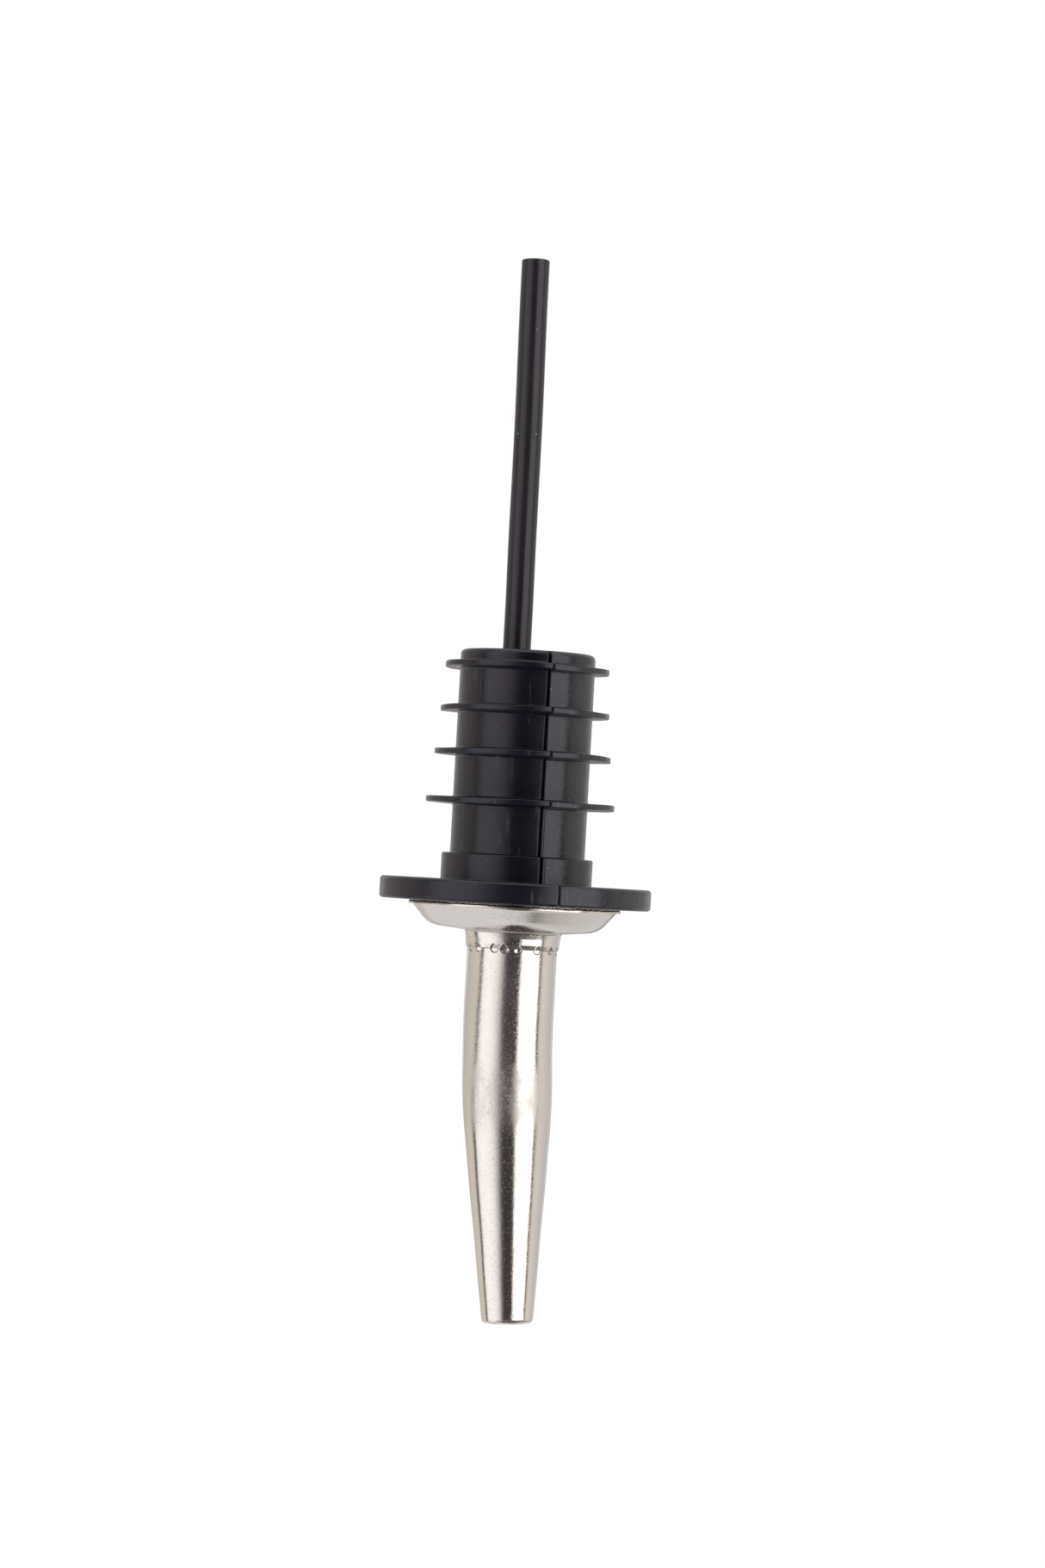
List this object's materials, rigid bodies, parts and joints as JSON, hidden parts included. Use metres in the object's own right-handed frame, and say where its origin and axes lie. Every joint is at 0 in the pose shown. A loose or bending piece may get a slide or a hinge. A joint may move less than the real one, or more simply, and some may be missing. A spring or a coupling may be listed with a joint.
{
  "type": "liquor pour spout",
  "caption": "Bottle pourer: finned rubber stopper with a flange, pressed metal shield cap, bent tapered metal spout, inner air tube and a long plastic vent tube.",
  "frame": {"origin": "centre of the flange's underside, the face that sits on the bottle's rim, on the stopper's axis", "axes": "+Z along the stopper's axis towards the spout's mouth, as the pourer stands in an upright bottle; the spout bends towards -X, the side that faces down while pouring"},
  "size_m": [0.033, 0.033, 0.1294],
  "materials": {
    "black_rubber": "matte moulded elastomer with a soft bluish sheen",
    "plated_metal": "bright nickel-chrome plating with a fine satin grain",
    "tube_metal": "drawn, satin",
    "solder": "dull solder",
    "black_plastic": "semi-gloss extruded polyethylene"
  },
  "bodies": {
    "stopper": {"stopper": "black_rubber"},
    "spout": {"spout_tube": "plated_metal", "shield_cap": "plated_metal", "air_tube": "tube_metal", "air_tube_holder": "tube_metal", "air_tube_solder": "solder"},
    "vent": {"vent_tube": "black_plastic"}
  },
  "joints": [
    {"name": "spout_turn", "type": "hinge", "parent": "stopper", "child": "spout", "pos_m": [0, 0, 0], "axis": [0, 0, 1], "continuous": true},
    {"name": "vent_tube_pull", "type": "slide", "parent": "spout", "child": "vent", "axis": [0, 0, -1], "range_m": [0, 0.0095]}
  ]
}
